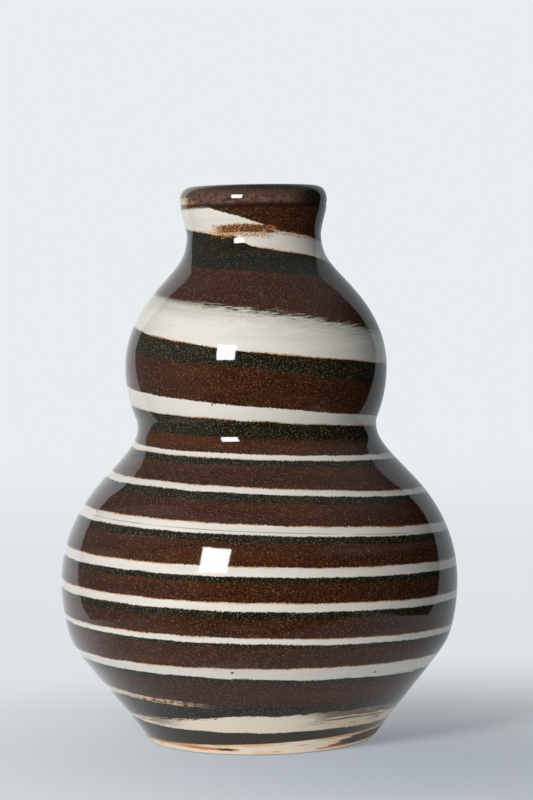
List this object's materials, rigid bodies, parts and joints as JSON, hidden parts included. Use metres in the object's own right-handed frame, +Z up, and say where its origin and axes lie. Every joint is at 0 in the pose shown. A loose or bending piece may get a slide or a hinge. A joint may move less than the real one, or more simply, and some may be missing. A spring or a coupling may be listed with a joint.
{
  "type": "vase",
  "caption": "Double gourd vase of marbled clay, with a round lower bulb, a smaller upper bulb, a short neck and a rolled lip.",
  "frame": {"origin": "on the vase's axis, in the plane it stands on", "axes": "+Z up along the vase's axis, -Y towards the pictured front, +X to the right in the picture"},
  "size_m": [0.1295, 0.1296, 0.18],
  "materials": {
    "cream_clay": "clear gloss glaze over cream clay",
    "black_clay": "clear gloss glaze over black clay with ochre specks",
    "brown_clay": "clear gloss glaze over dark brown clay",
    "bare_clay": "bare fired clay, matt, with orange flashing"
  },
  "bodies": {
    "root": {"black_turn_01": "black_clay", "black_turn_02": "black_clay", "black_turn_03": "black_clay", "black_turn_04": "black_clay", "black_turn_05": "black_clay", "black_turn_06": "black_clay", "black_turn_07": "black_clay", "black_turn_08": "black_clay", "black_turn_09": "black_clay", "black_turn_10": "black_clay", "black_turn_11": "black_clay", "black_turn_12": "black_clay", "brown_turn_01": "brown_clay", "brown_turn_02": "brown_clay", "brown_turn_03": "brown_clay", "brown_turn_04": "brown_clay", "brown_turn_05": "brown_clay", "brown_turn_06": "brown_clay", "brown_turn_07": "brown_clay", "brown_turn_08": "brown_clay", "brown_turn_09": "brown_clay", "brown_turn_10": "brown_clay", "brown_turn_11": "brown_clay", "cream_turn_01": "cream_clay", "cream_turn_02": "cream_clay", "cream_turn_03": "cream_clay", "cream_turn_04": "cream_clay", "cream_turn_05": "cream_clay", "cream_turn_06": "cream_clay", "cream_turn_07": "cream_clay", "cream_turn_08": "cream_clay", "cream_turn_09": "cream_clay", "cream_turn_10": "cream_clay", "cream_turn_11": "cream_clay", "cream_turn_12": "cream_clay", "foot_brown_wedge": "brown_clay", "foot_disc": "bare_clay", "lip": "brown_clay", "neck_brown_turn": "brown_clay", "neck_cream_tongue": "cream_clay"}
  },
  "joints": []
}
